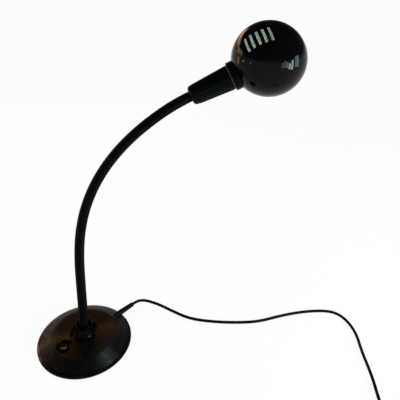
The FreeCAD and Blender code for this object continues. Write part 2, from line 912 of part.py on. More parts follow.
def neck_stations():
    """Place and lean, in degrees from upright, of each pivot and of the neck's end."""
    x = 0.0
    z = neck_start() + foot_link_length
    lean = 0.0
    stations = [(x, z, lean)]
    for turn in neck_turns:
        x, z, lean = advance(x, z, lean, link_length, turn)
        stations.append((x, z, lean))
    return stations


def advance(x, z, lean, length, turn):
    """Move along an arc of a given length and turn, in the XZ plane."""
    chord = length
    if abs(turn) > 1e-9:
        half = math.radians(turn) / 2
        chord = length * math.sin(half) / half
    middle = math.radians(lean + turn / 2)
    return x + chord * math.sin(middle), z + chord * math.cos(middle), lean + turn


def bent(station, turn, radius, low=0.0, high=1.0):
    """A round bar bent along one length of neck, between two shares of it."""
    x, z, lean = station
    way = way_of(station)
    if abs(turn) < 1e-9:
        start = spot_of(station) + way * link_length * low
        return Part.makeCylinder(radius, link_length * (high - low), start, way)
    bend = link_length / math.radians(turn)
    centre = spot_of(station) + Vec(way.z, 0, -way.x) * bend
    ring = Part.Face(Part.Wire([Part.makeCircle(radius, spot_of(station), way)]))
    ring = ring.rotated(centre, Vec(0, 1, 0), turn * low)
    return ring.revolve(centre, Vec(0, 1, 0), turn * (high - low))


def ribs(station, length, turn, first):
    """The raised turns of the wound tube along one length."""
    count = int(round(length * ribs_per_link / link_length))
    pitch = length / count
    result = []
    for index in range(first, count):
        share = (index + rib_start_share) / count
        spot = advance(station[0], station[1], station[2], length * share, turn * share)
        result.append(Part.makeCylinder(neck_radius, pitch * rib_width_share, spot_of(spot), way_of(spot)))
    return result


def way_of(station):
    """Unit vector along the neck at a station."""
    angle = math.radians(station[2])
    return Vec(math.sin(angle), 0, math.cos(angle))


def spot_of(station):
    """Point on the neck's middle line at a station."""
    return Vec(station[0], 0, station[1])


def neck_link(low, high, turn, socket):
    """One rigid length of the neck, with a ball below and a socket above."""
    body = bent(low, turn, neck_radius - rib_height)
    ball = Part.makeSphere(neck_radius, spot_of(low), way_of(low), -90, 0)
    body = body.multiFuse([ball] + ribs(low, link_length, turn, 0)).removeSplitter()
    body = body.cut(bent(low, turn, neck_bore))
    start = spot_of(low) - way_of(low) * (neck_radius + cut_past)
    throat = neck_bore + ball_gap
    body = body.cut(Part.makeCylinder(throat, neck_radius + 2 * cut_past, start, way_of(low)))
    if socket:
        body = body.cut(Part.makeSphere(neck_radius + ball_gap, spot_of(high)))
    return max(body.Solids, key=lambda solid: solid.Volume)


def lead_length(low, turn, start_gap, end_gap):
    """One rigid length of the lead inside the neck."""
    return bent(low, turn, lead_radius, start_gap / link_length, 1.0 - end_gap / link_length)


def foot_station():
    """Station of the neck's lower end."""
    return (0.0, neck_start(), 0.0)


def neck_foot():
    """Lowest length of the neck, fixed in the ferrule."""
    top = neck_stations()[0]
    body = rod(neck_radius - rib_height, neck_start(), top[1])
    body = body.multiFuse(ribs(foot_station(), foot_link_length, 0.0, 0)).removeSplitter()
    body = body.cut(rod(neck_bore, neck_start() - cut_past, top[1] + cut_past))
    body = body.cut(Part.makeSphere(neck_radius + ball_gap, spot_of(top)))
    return max(body.Solids, key=lambda solid: solid.Volume)


def lead_foot():
    """Lead from the base up to the first pivot."""
    top = neck_stations()[0]
    return rod(lead_radius, nipple_foot + lead_end_gap, top[1] - lead_end_gap)


def head_frame():
    """Placement of the head: local Z along its axis from the neck to the ball, local X upwards."""
    end = neck_stations()[-1]
    lean = math.radians(end[2])
    return frame_at(spot_of(end), way_of(end), Vec(-math.cos(lean), 0, math.sin(lean)))


def neck_tip():
    """Last length of the neck, with its end inside the socket cover."""
    stations = neck_stations()
    body = neck_link(stations[-2], stations[-1], neck_turns[-1], False)
    stub = moved(pipe(neck_radius - rib_height, neck_bore, 0, neck_insert), head_frame())
    return body.fuse(stub).removeSplitter()


def lead_tip():
    """Lead in the last length of the neck and on to the lampholder."""
    stations = neck_stations()
    body = lead_length(stations[-2], neck_turns[-1], lead_end_gap, 0.0)
    stub = moved(rod(lead_radius, 0, holder_floor - holder_floor_thickness - lead_end_gap), head_frame())
    return body.fuse(stub).removeSplitter()


def cover_radius_at(along):
    """Outer radius of the socket cover at a distance from its neck end."""
    share = (along - cover_round) / (cover_length - cover_round)
    return cover_neck_radius + (cover_mouth_radius - cover_neck_radius) * share


def socket_cover():
    """Fluted cover of the lampholder, which also serves as the handle."""
    entry = neck_radius + socket_entry_gap
    bend = cover_round * (1 - math.sqrt(0.5))
    body = turned(
        (entry, 0),
        (cover_neck_radius - cover_round, 0),
        ((cover_neck_radius - bend, bend), (cover_neck_radius, cover_round)),
        (cover_mouth_radius, cover_length),
        (cover_mouth_radius - socket_wall, cover_length),
        (cover_neck_radius - socket_wall, cover_round),
        (cover_neck_radius - cover_round, socket_wall),
        (entry, socket_wall),
    )
    low = cover_round + flute_end
    high = cover_length - flute_end / 2
    root = socket_wall / 2
    rib = Part.Face(Part.makePolygon([
        Vec(cover_radius_at(low) - root, -flute_width / 2, low - root),
        Vec(cover_radius_at(low) + flute_height, -flute_width / 2, low + flute_height),
        Vec(cover_radius_at(high) + flute_height, -flute_width / 2, high),
        Vec(cover_radius_at(high) - root, -flute_width / 2, high),
        Vec(cover_radius_at(low) - root, -flute_width / 2, low - root),
    ])).extrude(Vec(0, flute_width, 0))
    for index in range(flute_count):
        turn = flute_first + index * FULL_TURN / flute_count
        body = body.fuse(rib.rotated(Vec(0, 0, 0), UP, turn))
    return moved(body.removeSplitter(), head_frame())


def head_nipple():
    """Hollow threaded tube that joins the neck's end to the lampholder."""
    low = neck_insert / 4
    return moved(pipe(nipple_radius, nipple_bore, low, holder_start + holder_wall), head_frame())


def head_nut():
    """Round nut that holds the neck's end in the socket cover."""
    low = neck_insert
    nut = pipe(head_nut_radius, nipple_radius + nipple_gap, low, low + head_nut_height)
    return moved(nut, head_frame())


def lampholder():
    """Lampholder body with the sleeve that the shade turns on."""
    pocket = cap_radius + cap_gap + thread_wall
    body = turned(
        (nipple_radius + nipple_gap, holder_start),
        (holder_radius, holder_start),
        (holder_radius, holder_sleeve_start),
        (holder_sleeve_radius, holder_sleeve_start + holder_wall),
        (holder_sleeve_radius, holder_sleeve_end),
        (pocket, holder_sleeve_end),
        (pocket, holder_floor),
        (contact_width, holder_floor),
        (contact_width, holder_floor - holder_floor_thickness),
        (holder_radius - holder_wall, holder_floor - holder_floor_thickness),
        (holder_radius - holder_wall, holder_start + holder_wall),
        (nipple_radius + nipple_gap, holder_start + holder_wall),
    )
    return moved(body, head_frame())


def holder_thread():
    """Thin brass shell that takes the bulb's cap."""
    outer = cap_radius + cap_gap + thread_wall
    inner = cap_radius + cap_gap
    return moved(pipe(outer, inner, cap_foot(), holder_sleeve_end - contact_thickness), head_frame())


def cap_foot():
    """Distance along the head's axis of the bulb cap's lower end."""
    return holder_sleeve_end - cap_length


def holder_contact():
    """Sprung centre contact under the bulb's cap."""
    low = holder_floor
    high = cap_foot() - cap_tip_length
    foot = block(contact_length, contact_width, low, low + contact_thickness)
    post = rod(contact_width / 2, low, high)
    return moved(foot.fuse(post).removeSplitter(), head_frame())


def bulb_cap():
    """The bulb's brass cap with its tip."""
    foot = cap_foot()
    body = turned((0, foot - cap_tip_length), (cap_tip_radius, foot - cap_tip_length),
                  (cap_tip_radius, foot),
                  (cap_radius, foot + cap_tip_length), (cap_radius, holder_sleeve_end),
                  (0, holder_sleeve_end))
    return moved(body, head_frame())


def bulb_glass():
    """The bulb's hollow glass."""
    low = holder_sleeve_end
    top = low + bulb_length
    centre = top - bulb_radius
    lean = math.radians(bulb_join_angle)
    join = (bulb_radius * math.sin(lean), centre - bulb_radius * math.cos(lean))
    inside = bulb_radius - bulb_wall
    join_in = (inside * math.sin(lean), centre - inside * math.cos(lean))
    neck = low + bulb_neck_height
    waist = ((bulb_neck_radius + join[0]) / 2 - bulb_waist_in, (neck + join[1]) / 2 + bulb_waist_rise)
    waist_in = (waist[0] - bulb_wall, waist[1] + bulb_wall / 3)
    body = turned(
        (bulb_neck_radius - bulb_wall, low),
        (bulb_neck_radius, low),
        (bulb_neck_radius, neck),
        (waist, join),
        ((bulb_radius, centre), (bulb_radius * math.cos(lean), centre + bulb_radius * math.sin(lean))),
        ((bulb_radius * math.sin(lean / 2), centre + bulb_radius * math.cos(lean / 2)), (0, top)),
        (0, top - bulb_wall),
        ((inside * math.sin(lean / 2), centre + inside * math.cos(lean / 2)),
         (inside * math.cos(lean), centre + inside * math.sin(lean))),
        ((inside, centre), join_in),
        (waist_in, (bulb_neck_radius - bulb_wall, neck)),
    )
    return moved(body, head_frame())


def swivel_washer():
    """Pale washer that the shade's collar turns against."""
    outer = cover_mouth_radius + swivel_washer_proud
    inner = holder_sleeve_radius + swivel_clearance
    return moved(pipe(outer, inner, cover_length, cover_length + swivel_washer_thickness), head_frame())


def holder_ring():
    """Threaded ring on the lampholder that keeps the shade on."""
    low = spigot_end() + swivel_gap
    ring = pipe(holder_ring_radius, holder_sleeve_radius, low, low + holder_ring_thickness)
    return moved(ring, head_frame())


def spigot_end():
    """Distance along the head's axis of the front end of the collar's spigot."""
    return collar_start + collar_length + spigot_reach


def ball_centre():
    """The ball's centre in the head's own frame."""
    return Vec(0, 0, ball_distance)


def shade_collar():
    """Flat ring behind the ball, with the spigot that the ball is clamped on."""
    low = collar_start
    body = rod(collar_radius, low, ball_distance)
    body = body.cut(Part.makeSphere(ball_radius + seat_gap, ball_centre()))
    body = max(body.Solids, key=lambda solid: solid.Volume)
    back_edges = [edge for edge in body.Edges if abs(edge.BoundBox.ZMax - low) < 1e-6]
    body = body.makeChamfer(swivel_gap * 2, back_edges)
    body = body.fuse(rod(spigot_radius, low + collar_length / 2, spigot_end())).removeSplitter()
    body = body.cut(rod(holder_sleeve_radius + swivel_clearance, low - cut_past, spigot_end() + cut_past))
    return moved(body, head_frame())


def shade_lock_ring():
    """Ring inside the ball that clamps it to the collar."""
    low = spigot_end() - lock_ring_thickness - swivel_gap
    ring = pipe(lock_ring_radius, spigot_radius, low, spigot_end() - swivel_gap)
    ring = ring.common(Part.makeSphere(ball_radius - shade_wall - seat_gap, ball_centre()))
    return moved(ring, head_frame())


def slot_cutter(lean):
    """A rounded bar that cuts one slot, leaning along the head's axis from the ball's centre."""
    bar = block(2 * ball_radius, slot_width, -slot_length / 2, slot_length / 2, ball_radius, 0)
    long_edges = [edge for edge in bar.Edges if abs(edge.tangentAt(0).x) > 0.9]
    bar = bar.makeFillet(slot_corner, long_edges)
    bar = bar.rotated(Vec(0, 0, 0), Vec(1, 0, 0), 90)
    bar = bar.rotated(Vec(0, 0, 0), Vec(0, 1, 0), -lean)
    bar = bar.rotated(Vec(0, 0, 0), Vec(1, 0, 0), slot_tilt)
    return bar.rotated(Vec(0, 0, 0), UP, slot_roll).translated(ball_centre())


def shade_shell():
    """Hollow ball with five slots on one side and a beaded round opening opposite."""
    ball = Part.makeSphere(ball_radius, ball_centre()).cut(
        Part.makeSphere(ball_radius - shade_wall, ball_centre()))
    ball = ball.cut(rod(spigot_radius + spigot_gap, 0, ball_distance))
    for index in range(slot_count):
        lean = slot_middle + (index - (slot_count - 1) / 2) * slot_pitch
        ball = ball.cut(slot_cutter(lean))
    mouth = mouth_way()
    edge_distance = math.sqrt(ball_radius ** 2 - opening_radius ** 2)
    cutter = Part.makeCylinder(2 * ball_radius, ball_radius, ball_centre() + mouth * edge_distance, mouth)
    ball = ball.cut(cutter)
    middle = ball_radius - shade_wall / 2
    bead_ring = middle * opening_radius / ball_radius
    bead_centre = ball_centre() + mouth * edge_distance * middle / ball_radius
    bead = Part.makeTorus(bead_ring, bead_radius, bead_centre, mouth)
    return moved(ball.fuse(bead).removeSplitter(), head_frame())


def mouth_way():
    """Direction from the ball's centre to its opening, in the head's own frame."""
    return direction(opening_roll)


def build():
    """Write every node."""
    save("base_cover", base_cover())
    save("base_weight", base_weight())
    save("base_plate", base_plate())
    save("foot_pad", rod(base_radius - pad_inset, 0, pad_thickness))
    save("plate_screws", Part.makeCompound([plate_screw(spot, 0.0) for spot in plate_screw_spots()]))
    save("neck_ferrule", neck_ferrule())
    save("foot_nipple", foot_nipple())
    save("nipple_nut", nipple_nut())
    save("nipple_washer", nipple_washer())
    save("switch_body", switch_body())
    save("switch_button", switch_button())
    save("switch_spring", switch_spring())
    save("terminal_block", terminal_block())
    save("terminal_screws", terminal_screws())
    save("cord_clamp", cord_clamp())
    save("clamp_screws", clamp_screws())
    save("strain_relief", strain_relief())
    save("base_lead", base_lead())
    save("cord_run", cord_run())
    save("cord_coil", cord_coil())
    save("cord_tie", cord_tie())
    save("plug_body", plug_body())
    save("plug_pins", plug_pins())
    save("neck_foot", neck_foot())
    save("lead_foot", lead_foot())
    stations = neck_stations()
    for index in range(len(neck_turns) - 1):
        low, high = stations[index], stations[index + 1]
        name = str(index + 1)
        save("neck_link_" + name, neck_link(low, high, neck_turns[index], True))
        save("lead_" + name, lead_length(low, neck_turns[index], lead_end_gap, lead_end_gap))
    save("neck_tip", neck_tip())
    save("lead_tip", lead_tip())
    save("socket_cover", socket_cover())
    save("head_nipple", head_nipple())
    save("head_nut", head_nut())
    save("lampholder", lampholder())
    save("holder_thread", holder_thread())
    save("holder_contact", holder_contact())
    save("bulb_cap", bulb_cap())
    save("bulb_glass", bulb_glass())
    save("swivel_washer", swivel_washer())
    save("holder_ring", holder_ring())
    save("shade_collar", shade_collar())
    save("shade_lock_ring", shade_lock_ring())
    save("shade_shell", shade_shell())
    for index, (x, z, lean) in enumerate(stations):
        print("pivot %d at x %.3f z %.3f lean %.2f" % (index + 1, x, z, lean))


build()
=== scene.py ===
import json
import math
import bmesh
import bpy
from mathutils import Matrix, Vector


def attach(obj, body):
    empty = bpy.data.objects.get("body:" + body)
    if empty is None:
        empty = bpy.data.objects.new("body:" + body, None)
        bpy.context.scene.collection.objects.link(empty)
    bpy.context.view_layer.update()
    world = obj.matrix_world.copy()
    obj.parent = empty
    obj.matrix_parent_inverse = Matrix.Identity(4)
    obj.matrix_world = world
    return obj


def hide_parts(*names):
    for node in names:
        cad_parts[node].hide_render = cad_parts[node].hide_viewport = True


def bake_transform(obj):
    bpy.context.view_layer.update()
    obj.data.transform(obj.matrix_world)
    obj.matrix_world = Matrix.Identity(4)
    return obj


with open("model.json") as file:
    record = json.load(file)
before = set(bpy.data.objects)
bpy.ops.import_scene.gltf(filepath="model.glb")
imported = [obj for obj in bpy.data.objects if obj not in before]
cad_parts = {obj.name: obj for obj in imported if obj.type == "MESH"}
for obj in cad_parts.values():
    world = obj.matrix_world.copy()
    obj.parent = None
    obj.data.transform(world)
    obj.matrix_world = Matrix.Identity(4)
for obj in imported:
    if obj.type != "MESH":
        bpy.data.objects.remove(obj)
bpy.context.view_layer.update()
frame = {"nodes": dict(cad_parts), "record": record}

MM = 0.001


def add_object(name, data):
    """A new object, linked to the scene."""
    thing = bpy.data.objects.new(name, data)
    bpy.context.scene.collection.objects.link(thing)
    return thing


# Camera: the photograph's viewing angle on a frame of 400 by 400
def make_camera():
    data = bpy.data.cameras.new("camera")
    camera = add_object("camera", data)
    right = Vector((0.99042, -0.13104, 0.04354))
    up = Vector((0.00917, 0.37705, 0.92615))
    back = Vector((-0.13778, -0.91687, 0.37464))
    turn = Matrix((right, up, back)).transposed().to_4x4()
    camera.matrix_world = Matrix.Translation((0.1051, -0.5812, 0.6132)) @ turn
    data.sensor_width = 36.0
    data.lens = 40.567
    data.shift_x = -0.025
    data.shift_y = -0.177
    data.clip_start = 0.01
    data.clip_end = 60.0
    bpy.context.scene.camera = camera


make_camera()


# Materials
NOISE_ROUGHNESS = 0.55
PATCH_START, PATCH_END = 0.3, 0.7
GLOSS_PATCH = 2.3


def shader(name):
    material = bpy.data.materials.new(name)
    material.use_nodes = True
    tree = material.node_tree
    tree.nodes.clear()
    output = tree.nodes.new("ShaderNodeOutputMaterial")
    surface = tree.nodes.new("ShaderNodeBsdfPrincipled")
    tree.links.new(surface.outputs["BSDF"], output.inputs["Surface"])
    place = tree.nodes.new("ShaderNodeTexCoord")
    return material, tree, surface, place.outputs["Object"]


def noise(tree, place, scale, detail=3.0):
    node = tree.nodes.new("ShaderNodeTexNoise")
    node.inputs["Scale"].default_value = scale
    node.inputs["Detail"].default_value = detail
    node.inputs["Roughness"].default_value = NOISE_ROUGHNESS
    tree.links.new(place, node.inputs["Vector"])
    return node.outputs["Fac"]


def span(tree, value, low, high):
    """A noise value spread over a range."""
    node = tree.nodes.new("ShaderNodeMapRange")
    node.clamp = True
    node.inputs["From Min"].default_value = PATCH_START
    node.inputs["From Max"].default_value = PATCH_END
    node.inputs["To Min"].default_value = low
    node.inputs["To Max"].default_value = high
    tree.links.new(value, node.inputs["Value"])
    return node.outputs["Result"]


def ramp(tree, value, stops):
    node = tree.nodes.new("ShaderNodeValToRGB")
    line = node.color_ramp
    while len(line.elements) < len(stops):
        line.elements.new(0.5)
    for element, (at, colour) in zip(line.elements, stops):
        element.position = at
        element.color = (*colour, 1.0)
    tree.links.new(value, node.inputs["Fac"])
    return node.outputs["Color"]


def patches(tree, place, scale, dark, light):
    """Soft patches between two colours."""
    return ramp(tree, noise(tree, place, scale), [(PATCH_START, dark), (PATCH_END, light)])


def bump(tree, surface, height, distance):
    node = tree.nodes.new("ShaderNodeBump")
    node.inputs["Strength"].default_value = 1.0
    node.inputs["Distance"].default_value = distance
    tree.links.new(height, node.inputs["Height"])
    tree.links.new(node.outputs["Normal"], surface.inputs["Normal"])


def coat(name, dark, light, rough, patch, grain, depth, level, metal=0.0):
    """A painted, moulded or plated surface with soft patches of colour, uneven gloss and a fine grain."""
    material, tree, surface, place = shader(name)
    tree.links.new(patches(tree, place, patch, dark, light), surface.inputs["Base Color"])
    uneven = noise(tree, place, patch * GLOSS_PATCH, 5.0)
    tree.links.new(span(tree, uneven, *rough), surface.inputs["Roughness"])
    surface.inputs["Specular IOR Level"].default_value = level
    surface.inputs["Metallic"].default_value = metal
    bump(tree, surface, noise(tree, place, grain, 4.0), depth)
    return material


# Each paint: dark and light colour, least and most roughness; then the scale of its patches and of its grain,
# the grain's depth, the specular level and how metallic it is
PAINTS = {
    "satin_black": ((0.0014, 0.0012, 0.0010), (0.0036, 0.0028, 0.0022), (0.19, 0.27),
                    45.0, 1500.0, 0.000008, 0.13),
    "gloss_black": ((0.0009, 0.0009, 0.0008), (0.0020, 0.0018, 0.0016), (0.03, 0.06),
                    30.0, 300.0, 0.000003, 0.08),
    "neck_black": ((0.0012, 0.0010, 0.0009), (0.0030, 0.0024, 0.0020), (0.24, 0.36),
                   120.0, 2200.0, 0.00001, 0.02),
    "matt_black_plastic": ((0.0009, 0.0014, 0.0014), (0.0022, 0.0032, 0.0030), (0.22, 0.32),
                           90.0, 2600.0, 0.000015, 0.035),
    "button_black": ((0.0014, 0.0012, 0.0010), (0.0030, 0.0026, 0.0022), (0.08, 0.15),
                     200.0, 1800.0, 0.00001, 0.22),
    "inner_plastic": ((0.60, 0.57, 0.48), (0.72, 0.70, 0.62), (0.40, 0.52),
                      80.0, 1500.0, 0.00003, 0.5),
    "pale_nylon": ((0.085, 0.060, 0.036), (0.13, 0.094, 0.058), (0.38, 0.50),
                   150.0, 1500.0, 0.00002, 0.3),
    "plain_steel": ((0.42, 0.42, 0.43), (0.56, 0.56, 0.55), (0.28, 0.42),
                    140.0, 1600.0, 0.00003, 0.5, 1.0),
    "cast_iron": ((0.035, 0.033, 0.031), (0.085, 0.080, 0.074), (0.62, 0.80),
                  160.0, 900.0, 0.00030, 0.4, 0.6),
    "brass": ((0.60, 0.42, 0.16), (0.74, 0.55, 0.25), (0.22, 0.36),
              160.0, 1500.0, 0.00002, 0.5, 1.0),
    "nickel": ((0.62, 0.61, 0.58), (0.74, 0.73, 0.70), (0.14, 0.24),
               200.0, 1500.0, 0.00001, 0.5, 1.0),
    "black_rubber": ((0.0020, 0.0020, 0.0022), (0.0045, 0.0045, 0.0050), (0.40, 0.52),
                     110.0, 1800.0, 0.00005, 0.04),
    "black_flex": ((0.0018, 0.0018, 0.0022), (0.0040, 0.0040, 0.0050), (0.30, 0.42),
                   70.0, 1400.0, 0.00003, 0.05),
    "felt": ((0.010, 0.010, 0.010), (0.028, 0.027, 0.025), (0.90, 1.0),
             260.0, 2400.0, 0.00030, 0.2),
    # painted shade: a darker, duller copy of the satin black, used only inside the switch bowl
    "bowl_painted_shade": ((0.0012, 0.0011, 0.0010), (0.0030, 0.0026, 0.0022), (0.26, 0.36),
                     90.0, 1500.0, 0.00001, 0.03),
    "bell_black": ((0.0010, 0.0010, 0.0009), (0.0022, 0.0020, 0.0017), (0.08, 0.13),
                   60.0, 900.0, 0.000004, 0.035),
    "cut_edge": ((0.0012, 0.0012, 0.0010), (0.0030, 0.0028, 0.0025), (0.55, 0.70),
                 200.0, 1500.0, 0.00001, 0.02),
    "shade_white": ((0.66, 0.76, 0.64), (0.72, 0.82, 0.70), (0.35, 0.48),
                    60.0, 1200.0, 0.00002, 0.5),
}
MATERIALS = {name: coat(name, *paint) for name, paint in PAINTS.items()}


def frosted_glass():
    material, tree, surface, place = shader("frosted_glass")
    cloud = patches(tree, place, 60.0, (0.86, 0.86, 0.83), (0.93, 0.93, 0.91))
    tree.links.new(cloud, surface.inputs["Base Color"])
    tree.links.new(span(tree, noise(tree, place, 300.0), 0.32, 0.45), surface.inputs["Roughness"])
    surface.inputs["Transmission Weight"].default_value = 0.35
    surface.inputs["IOR"].default_value = 1.45
    bump(tree, surface, noise(tree, place, 4000.0), 0.00001)
    return material


MATERIALS["frosted_glass"] = frosted_glass()

SLOTS = {part["node"]: part["material_slot"] for part in frame["record"]["subparts"]}


def dress(thing, material):
    """Gives every material slot of a node one material."""
    if not thing.material_slots:
        thing.data.materials.append(material)
    for place in thing.material_slots:
        place.material = material


for node_name, node in frame["nodes"].items():
    dress(node, MATERIALS[SLOTS[node_name]])


# Helpers for new pieces
AXIS = 1e-6  # a radius below this lies on the axis
TURN_COUNT = 192


def new_piece(name, mesh, material, body):
    """Links a finished mesh as a piece of the lamp."""
    piece = add_object(name, mesh)
    if material is not None:
        piece.data.materials.append(material)
    if body:
        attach(piece, body)
    return piece


def join_rings(bm, rings):
    """Faces between each ring of corners and the next."""
    for low, high in zip(rings, rings[1:]):
        for index in range(len(low)):
            after = (index + 1) % len(low)
            bm.faces.new((low[index], low[after], high[after], high[index]))


def made_mesh(bm, name, place=Matrix.Identity(4)):
    """The mesh of a construction, its faces turned outward, put in its place."""
    bmesh.ops.recalc_face_normals(bm, faces=bm.faces)
    bm.transform(place)
    mesh = bpy.data.meshes.new(name)
    bm.to_mesh(mesh)
    bm.free()
    return mesh


def smooth(mesh, angle=32.0):
    """Smooth shading that keeps edges sharper than an angle."""
    bm = bmesh.new()
    bm.from_mesh(mesh)
    limit = math.radians(angle)
    for face in bm.faces:
        face.smooth = True
    for edge in bm.edges:
        edge.smooth = len(edge.link_faces) == 2 and edge.calc_face_angle(0.0) < limit
    bm.to_mesh(mesh)
    bm.free()


def turned(name, profile, place=Matrix.Identity(4), count=TURN_COUNT, angle=32.0):
    """A mesh turned about local Z from (radius, height) points in millimetres; the profile is closed or ends
    on the axis."""
    bm = bmesh.new()
    rings = []
    for radius, height in profile:
        if radius < AXIS:
            rings.append([bm.verts.new((0, 0, height * MM))])
            continue
        ring = []
        for index in range(count):
            turn = 2 * math.pi * index / count
            corner = (radius * MM * math.cos(turn), radius * MM * math.sin(turn), height * MM)
            ring.append(bm.verts.new(corner))
        rings.append(ring)
    pairs = list(zip(rings, rings[1:]))
    if len(rings[0]) > 1 and len(rings[-1]) > 1:
        pairs.append((rings[-1], rings[0]))
    for low, high in pairs:
        for index in range(count):
            after = (index + 1) % count
            if len(low) == 1:
                bm.faces.new((low[0], high[after], high[index]))
            elif len(high) == 1:
                bm.faces.new((low[index], low[after], high[0]))
            else:
                bm.faces.new((low[index], low[after], high[after], high[index]))
    mesh = made_mesh(bm, name, place)
    smooth(mesh, angle)
    return mesh


def arc(centre, radius, start, end, steps):
    """Points on an arc, angles in degrees from the radius axis."""
    points = []
    for index in range(steps + 1):
        turn = math.radians(start + (end - start) * index / steps)
        points.append((centre[0] + radius * math.cos(turn), centre[1] + radius * math.sin(turn)))
    return points


def cut(mesh, cutters, joined=()):
    """The mesh with the joined meshes added to it and then each cutting mesh taken out of it."""
    body = add_object("cut_body", mesh)
    made = [body]
    steps = [("UNION", other) for other in joined] + [("DIFFERENCE", other) for other in cutters]
    for operation, other in steps:
        tool = add_object("cutter", other)
        made.append(tool)
        step = body.modifiers.new("cut", "BOOLEAN")
        step.operation = operation
        step.solver = "EXACT"
        step.object = tool
    bpy.context.view_layer.update()
    result = bpy.data.meshes.new_from_object(body.evaluated_get(bpy.context.evaluated_depsgraph_get()))
    for thing in made:
        data = thing.data
        bpy.data.objects.remove(thing)
        bpy.data.meshes.remove(data)
    return result


# The neck's middle line at rest: pivots in the XZ plane, with the lean of each from upright
NECK_TURNS = (0.0, 0.6, 4.3, 7.1, 9.0, 9.5, 9.0, 8.2, 6.3, 9.1)
LINK = 43.0
NECK_LOW = 26.0
FOOT_LINK = 31.0
NO_BEND = 1e-9  # degrees


def advance(x, z, lean, length, turn):
    """Place and lean at the end of a length that bends by a turn in degrees."""
    chord = length
    if abs(turn) > NO_BEND:
        half = math.radians(turn) / 2
        chord = length * math.sin(half) / half
    middle = math.radians(lean + turn / 2)
    return x + chord * math.sin(middle), z + chord * math.cos(middle), lean + turn


PIVOTS = [(0.0, NECK_LOW + FOOT_LINK, 0.0)]
for bend in NECK_TURNS:
    PIVOTS.append(advance(*PIVOTS[-1], LINK, bend))


def neck_at(distance):
    """Place and lean on the neck's middle line, a distance in millimetres up from its lower end."""
    past = distance - FOOT_LINK
    if past <= 0:
        return 0.0, NECK_LOW + distance, 0.0
    index = min(int(past / LINK), len(NECK_TURNS) - 1)
    share = (past - index * LINK) / LINK
    if share > 1.0:
        x, z, lean = PIVOTS[-1]
        run = past - len(NECK_TURNS) * LINK
        return x + run * math.sin(math.radians(lean)), z + run * math.cos(math.radians(lean)), lean
    return advance(*PIVOTS[index], LINK * share, NECK_TURNS[index] * share)


HEAD_LEAN = math.radians(PIVOTS[-1][2])
HEAD_AXIS = Vector((math.sin(HEAD_LEAN), 0, math.cos(HEAD_LEAN)))
HEAD_UP = Vector((-math.cos(HEAD_LEAN), 0, math.sin(HEAD_LEAN)))
HEAD_SIDE = HEAD_AXIS.cross(HEAD_UP)
HEAD = (Matrix.Translation((PIVOTS[-1][0] * MM, 0, PIVOTS[-1][1] * MM))
        @ Matrix((HEAD_UP, HEAD_SIDE, HEAD_AXIS)).transposed().to_4x4())


# Mains cord: its route on the table, then the put-away coil in two layers
CORD_RADIUS = 2.5
CORD_EXIT = Vector((76.22, 66.26, 8.2))
COIL_LOW, COIL_HIGH = 3.25, 8.85
COIL_CENTRE = Vector((401, -211, 0))
COIL_OUTER = 36.0
COIL_PITCH = 5.7
COIL_POINTS = 20  # route points in each turn


def cord_route():
    points = [CORD_EXIT]
    for step in ((6.4, 5.6, 0.0), (7.8, 3.5, -1.2), (9.0, 0.8, -1.7), (9.7, -2.4, -1.7), (16.9, -8.6, -1.1)):
        points.append(points[-1] + Vector(step))
    for x, y in ((148, 48), (176, 28.5), (212, 18.5), (252, 12.5), (296, 10.5), (340, 21), (385, 27),
                 (425, 26), (447, 17), (458, -4), (461, -32), (454, -68), (450, -112), (441, -155)):
        points.append(Vector((x, y, CORD_RADIUS)))
    points.append(Vector((437, -186, COIL_LOW)))
    return points


def coil_route():
    quarter = COIL_POINTS // 4
    half = 2 * quarter
    stretch = 1.0 / math.cos(math.pi / COIL_POINTS) ** 0.5
    turns_in = 3 * COIL_POINTS
    points = []
    for index in range(turns_in + 1):
        points.append((index, COIL_OUTER - COIL_PITCH * index / COIL_POINTS, COIL_LOW))
    inner = COIL_OUTER - 3 * COIL_PITCH
    for index in range(1, half):
        share = index / half
        radius = inner - (COIL_PITCH / 4) * math.sin(math.pi * share)
        rise = share * share * (3 - 2 * share)
        points.append((turns_in + index, radius, COIL_LOW + (COIL_HIGH - COIL_LOW) * rise))
    begin = turns_in + half
    for index in range(11 * quarter + 1):
        points.append((begin + index, inner + COIL_PITCH * index / COIL_POINTS, COIL_HIGH))
    result = []
    for index, radius, height in points:
        turn = -2 * math.pi * index / COIL_POINTS
        out = Vector((math.cos(turn), math.sin(turn), 0)) * radius * stretch
        result.append(COIL_CENTRE + out + Vector((0, 0, height)))
    last = result[-1]
    result.append(last + Vector((-9, 0, 0)))
    result.append(Vector((383.0, last.y, COIL_HIGH)))
    return result


def make_cord():
    route = cord_route() + coil_route()
    curve = bpy.data.curves.new("mains_cord", "CURVE")
    curve.dimensions = "3D"
    line = curve.splines.new("NURBS")
    line.points.add(len(route) - 1)
    for point, place in zip(line.points, route):
        point.co = (*(place * MM), 1.0)
    line.order_u = 3
    line.use_endpoint_u = True
    line.resolution_u = 8
    curve.bevel_depth = CORD_RADIUS * MM
    curve.bevel_resolution = 6
    curve.use_fill_caps = True
    piece = add_object("mains_cord", curve)
    curve.materials.append(MATERIALS["black_flex"])
    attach(piece, "base")
    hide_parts("cord_run", "cord_coil")


make_cord()


